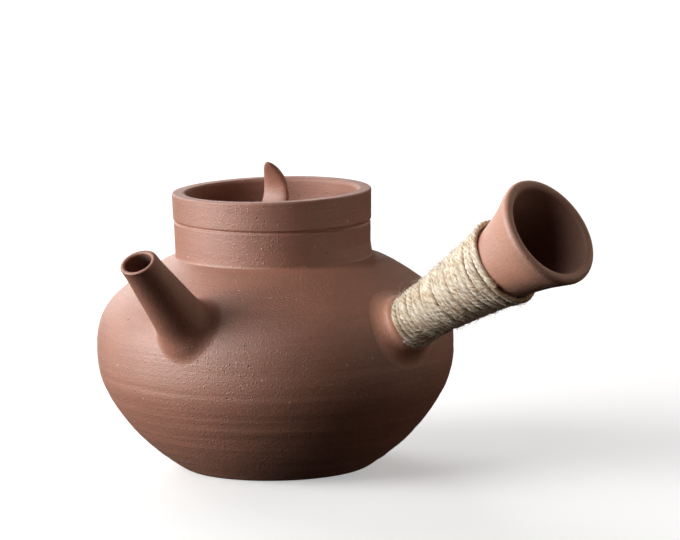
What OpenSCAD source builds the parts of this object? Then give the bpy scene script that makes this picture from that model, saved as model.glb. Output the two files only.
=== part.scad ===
// Clay kettle with a hollow side handle, a short spout and a loose lid sunk below the rim.
// Millimetres, +Z up. The origin is the centre of the flat base. The handle points along +X.

/* [Body] */
// Widest radius of the belly
belly_r = 75; // [68:0.5:82]
// Height at which the lower belly's curve reaches the widest radius
belly_z = 49.4; // [46:0.2:53]
// Height of the straight band at the widest radius
belly_flat = 3.6; // [1:0.1:6]
// Radius of the flat base
foot_r = 38.2; // [34:0.2:42]
// Rounding between the base and the wall
foot_round = 3; // [1:0.2:5]
// Radius of the lower belly's curve
hip_r = 36.5; // [32:0.5:37]
// Radius of the curve above the widest band
crown_r = 26.5; // [23:0.1:29]
// Height at which the collar stands on the shoulder
shoulder_z = 88.4; // [84:0.2:93]
// Thickness of the wall
wall = 4.2; // [3:0.1:6]
// Thickness of the floor
floor_t = 5; // [4:0.1:8]
// Radius of the hole in the shoulder under the collar
mouth_r = 34.6; // [30:0.2:36]

/* [Collar] */
// Height of the collar
neck_h = 27.6; // [24:0.2:34]
// Outer radius of the collar's foot on the shoulder
neck_foot_r = 42.2; // [40:0.2:45]
// Radius of the hollow curve at the collar's foot
neck_fillet = 2.6; // [1.5:0.1:3.5]
// How much the collar widens from its waist to the groove
neck_spread = 0.5; // [0:0.1:1.2]
// Distance of the groove's middle below the rim
band_h = 12.3; // [8:0.1:16]
// Width of the turned groove
groove_w = 1.1; // [0.6:0.1:2]
// Depth of the turned groove
groove_d = 0.6; // [0.3:0.1:1.2]
// How much the band above the groove stands out
band_step = 0.25; // [0:0.05:0.8]
// How much the band widens from the groove to the rim
band_spread = 0.45; // [0:0.05:1]
// Inner radius of the collar
bore_r = 36.2; // [33:0.1:38]
// Rounding of the rim's outer edge
rim_round = 1.3; // [0.5:0.1:2]
// Rounding of the rim's inner edge
rim_in_round = 1.1; // [0.5:0.1:2]

/* [Lid] */
// Depth of the lid's seat below the rim
seat_depth = 17; // [14:0.2:20]
// Inner radius of the seat
seat_r = 31; // [27:0.1:33]
// Thickness of the seat at its inner edge
seat_t = 2.2; // [1.5:0.1:4]
// How far the seat's underside drops towards the collar
seat_drop = 2.8; // [1:0.1:5]
// Thickness of the lid
lid_t = 4.5; // [3:0.1:6]
// Gap round the lid inside the collar
lid_gap = 0.8; // [0.4:0.1:1.5]
// Rounding of the lid's upper edge
lid_round = 1.2; // [0.5:0.1:2]
// Height of the ring under the lid
flange_h = 6; // [3:0.1:9]
// Thickness of the ring under the lid
flange_t = 3.2; // [2:0.1:5]
// Gap between the ring under the lid and the seat
flange_gap = 0.9; // [0.4:0.1:1.5]
// Rounding of the edges of the seat and of the ring under the lid
edge_round = 0.6; // [0.3:0.05:0.7]
// Diameter of the steam hole
vent_d = 3; // [2:0.1:5]
// Distance of the steam hole from the lid's middle
vent_off = 17; // [12:0.5:22]

/* [Knob] */
// Height of the knob above the lid
knob_h = 24.6; // [18:0.2:32]
// Width of the knob
knob_w = 11.8; // [8:0.2:14]
// Thickness of the knob
knob_t = 3.8; // [2.5:0.1:5]
// How far the knob's middle stands back from the lid's middle
knob_back = 3.3; // [0:0.1:6]
// How far the tip curls forward of the knob's middle
knob_curl = 7.8; // [4:0.1:10]
// Angle from the handle to the way the knob faces, clockwise from above
knob_turn = 78; // [0:1:360]

/* [Spout] */
// Angle from the handle to the spout, clockwise from above
spout_turn = 81; // [70:1:110]
// Height at which the spout's axis leaves the shoulder
spout_z = 69.3; // [64:0.1:74]
// Rise of the spout above level
spout_rise = 41.7; // [34:0.1:50]
// Length of the spout from the shoulder to its mouth
spout_len = 44.8; // [36:0.2:56]
// Outer radius at the mouth
spout_mouth_r = 7.2; // [5.5:0.1:9]
// Outer radius above the root's flare
spout_root_r = 10.4; // [9.6:0.1:13]
// Distance from the shoulder to the root's flare
spout_flare_at = 8.5; // [6:0.1:12]
// Radius of the root's flare
spout_flare_r = 22; // [14:0.5:30]
// Angle at which the flare runs into the shoulder
spout_flare_end = 27; // [20:1:29]
// Radius of the bore at the mouth
spout_bore_r = 5.5; // [4:0.1:6.5]
// Radius of the bore and of the hole through the wall at the root
spout_hole_r = 6.8; // [5:0.1:8]
// How much nearer to level than square the mouth is cut
spout_cut = 15.8; // [0:0.2:25]

/* [Handle] */
// Height at which the handle's axis leaves the shoulder
handle_z = 66.1; // [62:0.1:71]
// Rise of the handle above level
handle_rise = 30.4; // [20:0.1:40]
// Length of the handle from the shoulder to its lip
handle_len = 87.4; // [76:0.2:110]
// Radius of the ball-shaped root, which runs into the start of the grip
root_ball_r = 16.4; // [14:0.1:19]
// Distance from the shoulder to the start of the grip
grip_at = 4; // [3:0.1:7]
// Outer radius at the start of the grip
grip_r = 7.6; // [6.5:0.1:9]
// Length of the grip
grip_len = 53.5; // [44:0.5:62]
// Half angle of the grip's taper
grip_taper = 8; // [4:0.1:10]
// Radius of the curve from the grip to the bell
bell_curve = 40; // [20:1:80]
// Half angle of the bell's taper
bell_taper = 18.5; // [13:0.1:24]
// Thickness of the handle's wall
handle_wall = 3.7; // [2.5:0.1:4.5]
// Rounding of the lip
lip_round = 1.7; // [0.8:0.05:1.75]

/* [Binding] */
// Diameter of the yarn
yarn_d = 1.8; // [1.4:0.05:2]
// Clear space between the yarn and the clay
yarn_gap = 0.25; // [0.1:0.05:0.5]
// Number of turns
yarn_turns = 24; // [20:1:24]
// Distance from the start of the grip to the first turn
yarn_in = 0.3; // [0.2:0.1:2]
// Distance along the handle that the turns cover
yarn_len = 55.5; // [50:0.5:60]

/* [Hidden] */
$fn = 96;

clay = [0.59, 0.41, 0.33];
clay_dark = [0.50, 0.34, 0.27];
jute = [0.78, 0.70, 0.58];

// How far a cut runs on past the faces that it opens
cut_past = 8;
// Steps in each tight curve of the belly, and in each wide one
bands = 10;
wide_bands = 7;
function dir(a) = [cos(a), sin(a)];
function turn(v) = atan2(v.y, v.x);
function arc(c, r, a0, a1, n) = [for (i = [0 : n]) c + r * dir(a0 + (a1 - a0) * i / n)];
function smooth(x) = x <= 0 ? 0 : x >= 1 ? 1 : x * x * (3 - 2 * x);

// Height on the axis of the centre of the ball that touches two circles of the outline from outside.
// Each circle has its centre and radius, and the ball's radius is the same distance beyond both.
function ball_z(c1, r1, c2, r2) =
    let (g = r1 - r2,
        q = 2 * (c1.y - c2.y),
        m = c2 * c2 - c1 * c1 - g * g,
        a = q * q - 4 * g * g,
        b = 2 * m * q + 8 * g * g * c1.y,
        s = sqrt(b * b - 4 * a * (m * m - 4 * g * g * (c1 * c1))),
        z1 = (s - b) / (2 * a),
        z2 = (-s - b) / (2 * a))
    m + q * z1 > 0 ? z1 : z2;
function unit(v) = v / norm(v);

// Belly outline: below and above the straight band a tight curve runs on into a wide one,
// which is centred on the axis
hip_c = [belly_r - hip_r, belly_z];
foot_c = [foot_r, foot_round];
keel_c = [0, ball_z(hip_c, hip_r, foot_c, foot_round)];
keel_r = norm(hip_c - keel_c) + hip_r;
hip_n = unit(hip_c - keel_c);
foot_n = unit(foot_c - keel_c);
crown_c = [belly_r - crown_r, belly_z + belly_flat];
neck_p = [neck_foot_r, shoulder_z];
dome_c = [0, ball_z(crown_c, crown_r, neck_p, 0)];
dome_r = norm(neck_p - dome_c);
crown_n = unit(crown_c - dome_c);
neck_n = unit(neck_p - dome_c);

// Outer radius of the belly at a height above the straight band
function belly_at(z) = z <= crown_c.y + crown_r * crown_n.y
    ? crown_c.x + sqrt(crown_r * crown_r - (z - crown_c.y) * (z - crown_c.y))
    : sqrt(dome_r * dome_r - (z - dome_c.y) * (z - dome_c.y));

rim_z = shoulder_z + neck_h;
groove_z = rim_z - band_h;
seat_z = rim_z - seat_depth;
lid_r = bore_r - lid_gap;
lid_top = seat_z + lid_t;
flange_r = seat_r - flange_gap;

// Grip and bell outline along the handle, measured from the shoulder
grip_end = grip_at + grip_len;
grip_end_r = grip_r + grip_len * tan(grip_taper);
bell_c = [grip_end_r + bell_curve * cos(grip_taper), grip_end - bell_curve * sin(grip_taper)];
bell_p = bell_c - bell_curve * [cos(bell_taper), -sin(bell_taper)];
lip_t = handle_len - lip_round;
lip_r = bell_p.x + (lip_t - bell_p.y) * tan(bell_taper);
function grip_at_r(t) = t < grip_end ? grip_r + (t - grip_at) * tan(grip_taper)
    : t < bell_p.y ? bell_c.x - sqrt(bell_curve * bell_curve - (t - bell_c.y) * (t - bell_c.y))
    : bell_p.x + (t - bell_p.y) * tan(bell_taper);
ball_end = acos(grip_r / root_ball_r);
ball_c = [0, grip_at - root_ball_r * sin(ball_end)];

// Half section of the belly, drawn in by the inset
module belly_section(inset) {
    keel = arc(keel_c, keel_r - inset, turn(foot_n), turn(hip_n), wide_bands);
    hip = arc(hip_c, hip_r - inset, turn(hip_n), 0, bands);
    crown = arc(crown_c, crown_r - inset, 0, turn(crown_n), bands);
    dome = arc(dome_c, dome_r - inset, turn(crown_n), turn(neck_n), wide_bands);
    foot = inset > 0 ? [] : arc(foot_c, foot_round, -90, turn(foot_n), 4);
    polygon(concat([[0, inset > 0 ? keel[0].y : 0]], foot, keel, hip, crown, dome,
        [[0, dome[wide_bands].y]]));
}

module belly_solid() {
    rotate_extrude() belly_section(0);
}

module to_spout() {
    rotate([0, 0, -spout_turn]) translate([belly_at(spout_z), 0, spout_z])
        rotate([0, 90 - spout_rise, 0]) children();
}

module to_handle() {
    translate([belly_at(handle_z), 0, handle_z]) rotate([0, 90 - handle_rise, 0]) children();
}

// How far the spout's blank reaches in below the shoulder before the belly is cut out of it
spout_sink = 13.3;

// Tapering bore of the spout, run on past both ends
spout_bore_slope = (spout_hole_r - spout_bore_r) / spout_len;
module spout_bore(from, to) {
    translate([0, 0, from]) cylinder(h = to - from,
        r1 = spout_hole_r - from * spout_bore_slope, r2 = spout_hole_r - to * spout_bore_slope);
}

// The pot between two heights: it is thrown whole, and divided at the floor and the widest line
waist_z = belly_z + belly_flat / 2;
module pot_part(low, high) {
    rotate_extrude() intersection() {
        difference() {
            belly_section(0);
            intersection() {
                belly_section(wall);
                translate([0, floor_t]) square([belly_r, shoulder_z]);
            }
            translate([0, belly_z]) square([mouth_r, rim_z - belly_z]);
        }
        translate([0, low]) square([belly_r, high - low]);
    }
}

module pot_base() {
    color(clay) pot_part(0, floor_t);
}

module pot_belly() {
    color(clay) pot_part(floor_t, waist_z);
}

module pot_shoulder() {
    color(clay) difference() {
        pot_part(waist_z, shoulder_z);
        to_spout() translate([0, 0, -wall - cut_past]) cylinder(h = wall + 2 * cut_past, r = spout_hole_r);
    }
}

module neck_collar() {
    lean = turn(neck_n);
    fillet_c = neck_p + neck_fillet * dir(lean);
    waist_r = fillet_c.x - neck_fillet;
    top_r = waist_r + neck_spread;
    band_r = top_r + band_step;
    rim_r = band_r + band_spread;
    color(clay) rotate_extrude() polygon(concat(
        [[bore_r, shoulder_z]],
        arc(fillet_c, neck_fillet, 180 + lean, 180, 6),
        [[top_r, groove_z - groove_w / 2], [top_r - groove_d, groove_z - groove_w / 4],
         [top_r - groove_d, groove_z + groove_w / 4], [band_r, groove_z + groove_w / 2]],
        arc([rim_r - rim_round, rim_z - rim_round], rim_round, 0, 90, 6),
        arc([bore_r + rim_in_round, rim_z - rim_in_round], rim_in_round, 90, 180, 6)));
}

module lid_seat() {
    color(clay_dark) rotate_extrude() polygon(concat(
        [[bore_r, seat_z]],
        arc([seat_r + edge_round, seat_z - edge_round], edge_round, 90, 180, 4),
        [[seat_r, seat_z - seat_t], [bore_r, seat_z - seat_t - seat_drop]]));
}

module spout() {
    taper = atan((spout_root_r - spout_mouth_r) / (spout_len - spout_flare_at));
    flare_c = [spout_root_r + spout_flare_r * cos(taper), spout_flare_at + spout_flare_r * sin(taper)];
    flare = arc(flare_c, spout_flare_r, 180 + taper, 180 + spout_flare_end, 6);
    last = flare[6];
    past = spout_mouth_r * tan(spout_cut) + cut_past;
    tip_r = spout_mouth_r - past * tan(taper);
    color(clay) difference() {
        to_spout() rotate_extrude() polygon(concat(
            [[0, spout_len + past], [tip_r, spout_len + past]],
            flare,
            [[last.x + (last.y + spout_sink) * tan(spout_flare_end), -spout_sink], [0, -spout_sink]]));
        belly_solid();
        to_spout() spout_bore(-spout_sink, spout_len + past);
        to_spout() translate([0, 0, spout_len]) rotate([0, -spout_cut, 0])
            translate([-spout_len, -spout_len, 0]) cube([2 * spout_len, 2 * spout_len, spout_len]);
    }
}

module handle() {
    outer = concat(
        arc(ball_c, root_ball_r, 0, ball_end, 8),
        arc(bell_c, bell_curve, 180 - grip_taper, 180 - bell_taper, 6),
        arc([lip_r - lip_round / cos(bell_taper), lip_t], lip_round, -bell_taper, 90, 8));
    color(clay) difference() {
        to_handle() rotate_extrude() polygon(concat(
            outer,
            arc([lip_r - handle_wall + lip_round / cos(bell_taper), lip_t], lip_round,
                90, 180 - bell_taper, 8),
            arc([bell_c.x - handle_wall, bell_c.y], bell_curve, 180 - bell_taper, 180 - grip_taper, 6),
            [[grip_r - handle_wall, grip_at], [grip_r - handle_wall, ball_c.y]]));
        belly_solid();
    }
}

// Yarn: one tube along a spiral on the grip, with a straight tail at each end
ring_n = 24;
side_n = 6;
yarn_rise = yarn_len / yarn_turns;
yarn_from = grip_at + yarn_in + yarn_d / 2;
function yarn_lay(t) = grip_at_r(t) + yarn_gap + yarn_d / 2;
function yarn_point(k) = let (t = yarn_from + yarn_rise * k / ring_n, a = 90 + 360 * k / ring_n)
    [yarn_lay(t) * cos(a), yarn_lay(t) * sin(a), t];
yarn_last = yarn_turns * ring_n;
yarn_run = [for (k = [0 : yarn_last]) yarn_point(k)];
yarn_path = concat(
    [yarn_run[0] - yarn_d * unit(yarn_run[1] - yarn_run[0])],
    yarn_run,
    [yarn_run[yarn_last] + yarn_d * unit(yarn_run[yarn_last] - yarn_run[yarn_last - 1])]);
yarn_gaps = [for (k = [0 : yarn_last - ring_n], j = [ring_n - 2 : ring_n + 2])
    if (k + j <= yarn_last) norm(yarn_run[k + j] - yarn_run[k]) - yarn_d];
echo(least_gap_between_turns = min(yarn_gaps));

module tube(path, d) {
    n = len(path);
    pts = [for (k = [0 : n - 1])
        let (fwd = unit(path[min(k + 1, n - 1)] - path[max(k - 1, 0)]),
            out = unit([path[k].x, path[k].y, 0]),
            side = unit(cross(fwd, out)),
            up = cross(side, fwd))
        for (s = [0 : side_n - 1])
            let (a = 360 * s / side_n)
            path[k] + d / 2 * (cos(a) * up + sin(a) * side)];
    walls = [for (k = [0 : n - 2], s = [0 : side_n - 1])
        let (a = k * side_n + s, b = k * side_n + (s + 1) % side_n)
        each [[a, b, b + side_n], [a, b + side_n, a + side_n]]];
    ends = [for (s = [1 : side_n - 2]) each [[0, s + 1, s],
        [(n - 1) * side_n, (n - 1) * side_n + s, (n - 1) * side_n + s + 1]]];
    polyhedron(points = pts, faces = concat(walls, ends), convexity = 10);
}

module handle_binding() {
    color(jute) to_handle() tube(yarn_path, yarn_d);
}

module lid_plate() {
    color(clay) difference() {
        translate([0, 0, seat_z]) rotate_extrude() polygon(concat(
            [[0, 0], [lid_r, 0]],
            arc([lid_r - lid_round, lid_t - lid_round], lid_round, 0, 90, 6),
            [[0, lid_t]]));
        rotate([0, 0, 180 - knob_turn]) translate([vent_off, 0, seat_z - cut_past])
            cylinder(h = lid_t + 2 * cut_past, d = vent_d);
    }
}

module lid_flange() {
    color(clay_dark) translate([0, 0, seat_z - flange_h]) rotate_extrude() polygon(concat(
        [[flange_r - flange_t, flange_h]],
        arc([flange_r - flange_t + edge_round, edge_round], edge_round, 180, 270, 4),
        arc([flange_r - edge_round, edge_round], edge_round, 270, 360, 4),
        [[flange_r, flange_h]]));
}

// Knob: ovals along a bow-shaped spine that stands back in the middle and curls forward at the tip
knob_rings = 22;
knob_sides = 20;
// Share of the height at which the knob stands furthest back
knob_low = 0.48;
// How much wider and thicker the knob's foot is, and how quickly that dies away upward
knob_foot_w = 0.2;
knob_foot_t = 0.7;
foot_fade = 6;
// How late the width and the thickness draw in towards the tip, and how roundly they close
knob_late_w = 3.2;
knob_close_w = 0.58;
knob_late_t = 6;
knob_close_t = 0.5;
function knob_bend(u) = -knob_back + knob_curl * pow((u - knob_low) / (1 - knob_low), 2);
function knob_lean(u) = smooth(u * 4)
    * atan(2 * knob_curl * (u - knob_low) / pow(1 - knob_low, 2) / knob_h);
function knob_half_w(u) = knob_w / 2 * pow(1 - pow(u, knob_late_w), knob_close_w)
    * (1 + knob_foot_w * pow(1 - u, foot_fade));
function knob_half_t(u) = knob_t / 2 * pow(1 - pow(u, knob_late_t), knob_close_t)
    * (1 + knob_foot_t * pow(1 - u, foot_fade));
module lid_knob() {
    us = [for (i = [0 : knob_rings]) sin(90 * i / (knob_rings + 1))];
    pts = concat(
        [for (u = us, s = [0 : knob_sides - 1])
            let (a = 360 * s / knob_sides, e = knob_half_t(u) * cos(a))
            [knob_bend(u) + e * cos(knob_lean(u)), knob_half_w(u) * sin(a),
                knob_h * u - e * sin(knob_lean(u))]],
        [[knob_bend(1), 0, knob_h]]);
    walls = [for (i = [0 : knob_rings - 1], s = [0 : knob_sides - 1])
        let (a = i * knob_sides + s, b = i * knob_sides + (s + 1) % knob_sides)
        each [[a, b + knob_sides, b], [a, a + knob_sides, b + knob_sides]]];
    base = [for (s = [1 : knob_sides - 2]) [0, s, s + 1]];
    rim = knob_rings * knob_sides;
    top = [for (s = [0 : knob_sides - 1]) [rim + s, rim + knob_sides, rim + (s + 1) % knob_sides]];
    color(clay) rotate([0, 0, -knob_turn]) translate([0, 0, lid_top])
        polyhedron(points = pts, faces = concat(walls, base, top), convexity = 4);
}

pot_base();
pot_belly();
pot_shoulder();
neck_collar();
lid_seat();
spout();
handle();
handle_binding();
lid_plate();
lid_flange();
lid_knob();
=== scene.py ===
"""Clay side-handle kettle: thrown body, collar, sunk lid, short spout and jute-bound trumpet handle.

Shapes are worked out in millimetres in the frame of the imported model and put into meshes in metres.
"""
from functools import partial
from math import acos, asin, atan, atan2, cos, degrees, hypot, pi, radians, sin, sqrt, tan

import bpy
import numpy as np
from mathutils import Matrix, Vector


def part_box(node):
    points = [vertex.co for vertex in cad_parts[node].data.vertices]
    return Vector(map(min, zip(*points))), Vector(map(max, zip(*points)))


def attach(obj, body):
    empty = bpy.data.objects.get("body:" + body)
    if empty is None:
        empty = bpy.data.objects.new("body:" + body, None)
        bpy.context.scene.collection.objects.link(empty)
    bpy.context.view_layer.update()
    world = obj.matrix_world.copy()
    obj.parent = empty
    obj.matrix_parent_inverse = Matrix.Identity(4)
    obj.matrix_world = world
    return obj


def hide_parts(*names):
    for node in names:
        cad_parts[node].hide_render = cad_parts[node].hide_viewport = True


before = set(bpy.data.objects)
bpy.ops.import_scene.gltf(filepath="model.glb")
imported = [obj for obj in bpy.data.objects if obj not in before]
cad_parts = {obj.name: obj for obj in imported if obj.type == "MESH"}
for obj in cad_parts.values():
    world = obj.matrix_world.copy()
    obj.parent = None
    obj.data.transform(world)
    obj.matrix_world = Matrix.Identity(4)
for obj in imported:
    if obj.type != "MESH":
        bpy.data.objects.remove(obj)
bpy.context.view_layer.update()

MM = 0.001
TAU = 2 * pi
VIEW_TURN = radians(40.9)
VIEW_RIGHT = np.array((cos(VIEW_TURN), sin(VIEW_TURN), 0.0))
VIEW_BACK = np.array((-sin(VIEW_TURN), cos(VIEW_TURN), 0.0))
UP = np.array((0.0, 0.0, 1.0))


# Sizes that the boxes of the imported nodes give
def node_top(node, axis):
    """Highest coordinate of a node along an axis, in millimetres."""
    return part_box(node)[1][axis] / MM


BELLY_R = node_top("pot_belly", 0)
SHOULDER_Z = node_top("pot_shoulder", 2)
RIM_Z = node_top("neck_collar", 2)
FLOOR_T = node_top("pot_base", 2)
BORE_R = node_top("lid_seat", 0)
SEAT_Z = node_top("lid_seat", 2)
LID_R = node_top("lid_plate", 0)
LID_TOP = node_top("lid_plate", 2)
KNOB_H = node_top("lid_knob", 2) - LID_TOP

# Sizes of the thrown outline that the boxes don't give, as in the part's source
BELLY_Z = 49.4
BELLY_FLAT = 3.6
FOOT_R = 38.2
FOOT_ROUND = 3.0
HIP_R = 36.5
CROWN_R = 26.5
WALL = 4.2
MOUTH_R = 34.6
KEEL_Z = 70.10
DOME_Z = -2.42
NECK_FOOT_R = 42.2


# Lines and grids
def smooth(x):
    """Goes from 0 to 1 with level ends as x goes from 0 to 1."""
    x = np.clip(x, 0.0, 1.0)
    return x * x * (3 - 2 * x)


def unit(v):
    """Vectors drawn to length 1."""
    return v / np.linalg.norm(v, axis=-1, keepdims=True)


def round_angles(columns):
    """Evenly spaced angles once round."""
    return np.arange(columns) * TAU / columns


def near(phi, middle, width):
    """A bell curve round a tube: 1 at the middle angle, fading on both sides; both are in degrees."""
    away = (np.degrees(phi) - middle + 180.0) % 360.0 - 180.0
    return np.exp(-(away / width) ** 2)


def arc(centre, radius, start, end, count):
    """Points on a circle from one angle to another, in degrees."""
    angle = np.radians(np.linspace(start, end, count))
    return np.column_stack((centre[0] + radius * np.cos(angle), centre[1] + radius * np.sin(angle)))


def line(*points):
    """Corner points of a line as an array."""
    return np.array(points, dtype=float)


def run_along(points):
    """Distance along a line at each of its points."""
    return np.concatenate(([0.0], np.cumsum(np.linalg.norm(np.diff(points, axis=0), axis=1))))


def spaced(points, step):
    """A line drawn again with points about one step apart along its length."""
    run = run_along(points)
    at = np.linspace(0.0, run[-1], max(2, int(round(run[-1] / step)) + 1))
    return np.column_stack([np.interp(at, run, points[:, k]) for k in range(points.shape[1])])


def facing(profile):
    """Unit normal of a profile of radius and height, on the right of its run: outward on the way up."""
    along = np.gradient(profile, axis=0)
    return unit(np.column_stack((along[:, 1], -along[:, 0])))


def grid_quads(rows, columns, ring):
    """Quads between neighbouring rows whose columns close round; ring joins the last row to the first."""
    row = np.arange(rows if ring else rows - 1)[:, None]
    column = np.arange(columns)[None, :]
    beside = (column + 1) % columns
    above = (row + 1) % rows
    lower = (row * columns + column, row * columns + beside)
    upper = (above * columns + beside, above * columns + column)
    return np.stack(lower + upper, axis=-1).reshape(-1, 4).tolist()


def fan(start, columns, pole, upward):
    """Triangles from one row to a pole."""
    column = np.arange(columns)
    this = start + column
    following = start + (column + 1) % columns
    pair = (this, following) if upward else (following, this)
    return np.stack((np.full(columns, pole), *pair), axis=-1).tolist()


def capped_grid(rows, columns):
    """Faces of rows between two poles, whose points come after those of the rows."""
    faces = grid_quads(rows, columns, False)
    faces += fan(0, columns, rows * columns, False)
    faces += fan((rows - 1) * columns, columns, rows * columns + 1, True)
    return faces


# Meshes and objects
def new_mesh(name, points, faces):
    """A mesh in metres from points in millimetres."""
    mesh = bpy.data.meshes.new(name)
    mesh.from_pydata((np.asarray(points).reshape(-1, 3) * MM).tolist(), [], faces)
    return mesh


def new_object(name, data):
    """An object for a mesh, a lamp or a camera, put into the scene."""
    made = bpy.data.objects.new(name, data)
    bpy.context.scene.collection.objects.link(made)
    return made


def make_piece(name, points, faces, finish, body, nodes=()):
    """A smooth mesh object that rides on a body and stands for the CAD nodes named."""
    mesh = new_mesh(name, points, faces)
    mesh.polygons.foreach_set("use_smooth", np.ones(len(mesh.polygons), dtype=bool))
    mesh.materials.append(finish)
    mesh.update()
    piece = new_object(name, mesh)
    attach(piece, body)
    if nodes:
        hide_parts(*nodes)
    return piece


def closed_clay(name, points, finish, body, node):
    """A clay piece whose last row of points joins the first, in place of one CAD node."""
    return make_piece(name, points, grid_quads(*points.shape[:2], True), finish, body, (node,))


def mark(piece, name, values):
    """Keeps one number for each point of a mesh."""
    piece.data.attributes.new(name, "FLOAT", "POINT").data.foreach_set("value", np.ravel(values))


def mark_lay(piece, places):
    """Keeps each point's place in the straightened yarn: distance along it and place across its section."""
    piece.data.attributes.new("lay", "FLOAT_VECTOR", "POINT").data.foreach_set("vector", np.ravel(places))


# Shader helpers
def sockets(group, direction, **kinds):
    """Named sockets on a node group."""
    for name, kind in kinds.items():
        group.interface.new_socket(name, in_out=direction, socket_type="NodeSocket" + kind)


class Wiring:
    """Adds nodes to a tree: inputs are given by name or number, as values or as sockets to link."""

    def __init__(self, tree):
        self.tree = tree

    def add(self, kind, inputs=(), **settings):
        """A new node with its settings and inputs."""
        node = self.tree.nodes.new(kind)
        for key, value in settings.items():
            setattr(node, key, value)
        for key, value in dict(inputs).items():
            self.feed(value, node.inputs[key])
        return node

    def feed(self, value, socket):
        """Links a socket, or sets a plain value."""
        if isinstance(value, bpy.types.NodeSocket):
            self.tree.links.new(value, socket)
        else:
            socket.default_value = value

    def marked(self, name):
        """What the mesh keeps at its points under a name."""
        return self.add("ShaderNodeAttribute", attribute_name=name).outputs

    def math(self, operation, first, second):
        """Two numbers joined by an operation."""
        return self.add("ShaderNodeMath", {0: first, 1: second}, operation=operation).outputs[0]

    def times(self, first, second):
        """One number times another."""
        return self.math("MULTIPLY", first, second)

    def total(self, *terms):
        """All terms added up in turn."""
        result = terms[0]
        for term in terms[1:]:
            result = self.math("ADD", result, term)
        return result

    def stretched(self, vector, factors):
        """A place with each direction times its own factor."""
        return self.add("ShaderNodeVectorMath", {0: vector, 1: factors}, operation="MULTIPLY").outputs[0]

    def scaled(self, vector, factor):
        """A place or a colour times a number."""
        return self.add("ShaderNodeVectorMath", {0: vector, "Scale": factor}, operation="SCALE").outputs[0]

    def noise(self, vector, scale, detail=2.0, rough=0.5):
        """Cloudy noise between 0 and 1."""
        inputs = {"Vector": vector, "Scale": scale, "Detail": detail, "Roughness": rough}
        return self.add("ShaderNodeTexNoise", inputs).outputs["Fac"]

    def span(self, value, low, high, to_low=0.0, to_high=1.0):
        """Value carried from one span to another, held at the ends."""
        inputs = {"Value": value, "From Min": low, "From Max": high, "To Min": to_low, "To Max": to_high}
        return self.add("ShaderNodeMapRange", inputs).outputs["Result"]

    def swing(self, noise, reach):
        """Noise, which mostly lies from 0.3 to 0.7, carried to a swing from minus to plus the reach."""
        return self.span(noise, 0.3, 0.7, -reach, reach)

    def mix(self, share, first, second):
        """Two colours mixed: in the mix node their sockets are numbers 6 and 7, and the result is 2."""
        inputs = {0: share, 6: first, 7: second}
        return self.add("ShaderNodeMix", inputs, data_type="RGBA").outputs[2]

    def bump(self, height):
        """Relief from a height in millimetres."""
        return self.add("ShaderNodeBump", {"Height": height, "Distance": MM, "Strength": 1.0}).outputs[0]

    def surface(self, inputs):
        """The shader that the material ends in."""
        shader = self.add("ShaderNodeBsdfPrincipled", inputs)
        self.add("ShaderNodeOutputMaterial", {"Surface": shader.outputs[0]})


def blank_material(name):
    """A material with an empty node tree, and the wiring for it."""
    material = bpy.data.materials.new(name)
    material.use_nodes = True
    material.node_tree.nodes.clear()
    return material, Wiring(material.node_tree)


def tint(red, green, blue):
    """A colour given as it looks on a screen, 0 to 255, as linear light."""
    share = np.array((red, green, blue)) / 255
    linear = np.where(share <= 0.04045, share / 12.92, ((share + 0.055) / 1.055) ** 2.4)
    return (*linear.tolist(), 1.0)


# Finishes of clay and jute
PALE_GRIT = tint(240, 224, 206)
FINE_GRIT = tint(214, 176, 150)
OCHRE_GRIT = tint(188, 122, 82)
FINE_PIT = tint(84, 50, 38)
DEEP_PIT = tint(58, 34, 27)
# Dull grey brown for painted shade inside bores and hollows
HOLLOW_PAINTED_SHADE = tint(104, 80, 70)
CREAM_JUTE = tint(236, 219, 192)
WHITE_JUTE = tint(254, 249, 239)
TAN_LENGTH = tint(204, 166, 122)
BROWN_TUFT = tint(176, 142, 100)
# Brown for the painted shade on the side of the grip away from the lamps
BROWN_PAINTED_SHADE = tint(168, 127, 80)
PALE_FIBRE = tint(252, 248, 238)
DARK_FIBRE = tint(130, 98, 64)


def speck_group():
    """Specks scattered in space: a mask of round spots of varying size, one in a share of the cells."""
    group = bpy.data.node_groups.new("scattered specks", "ShaderNodeTree")
    sockets(group, "INPUT", Place="Vector", Density="Float", Size="Float", Share="Float")
    sockets(group, "OUTPUT", Mask="Float")
    w = Wiring(group)
    given = w.add("NodeGroupInput").outputs
    cells = w.add("ShaderNodeTexVoronoi", {"Vector": given["Place"], "Scale": given["Density"]}).outputs
    lot = w.add("ShaderNodeSeparateColor", {0: cells["Color"]}).outputs
    reach = w.times(given["Size"], w.span(lot[1], 0.0, 1.0, 0.4, 1.0))
    spot = w.span(w.math("DIVIDE", cells["Distance"], reach), 0.5, 1.0, 1.0, 0.0)
    mask = w.times(spot, w.math("LESS_THAN", lot[0], given["Share"]))
    w.add("NodeGroupOutput", {"Mask": mask})
    return group


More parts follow.
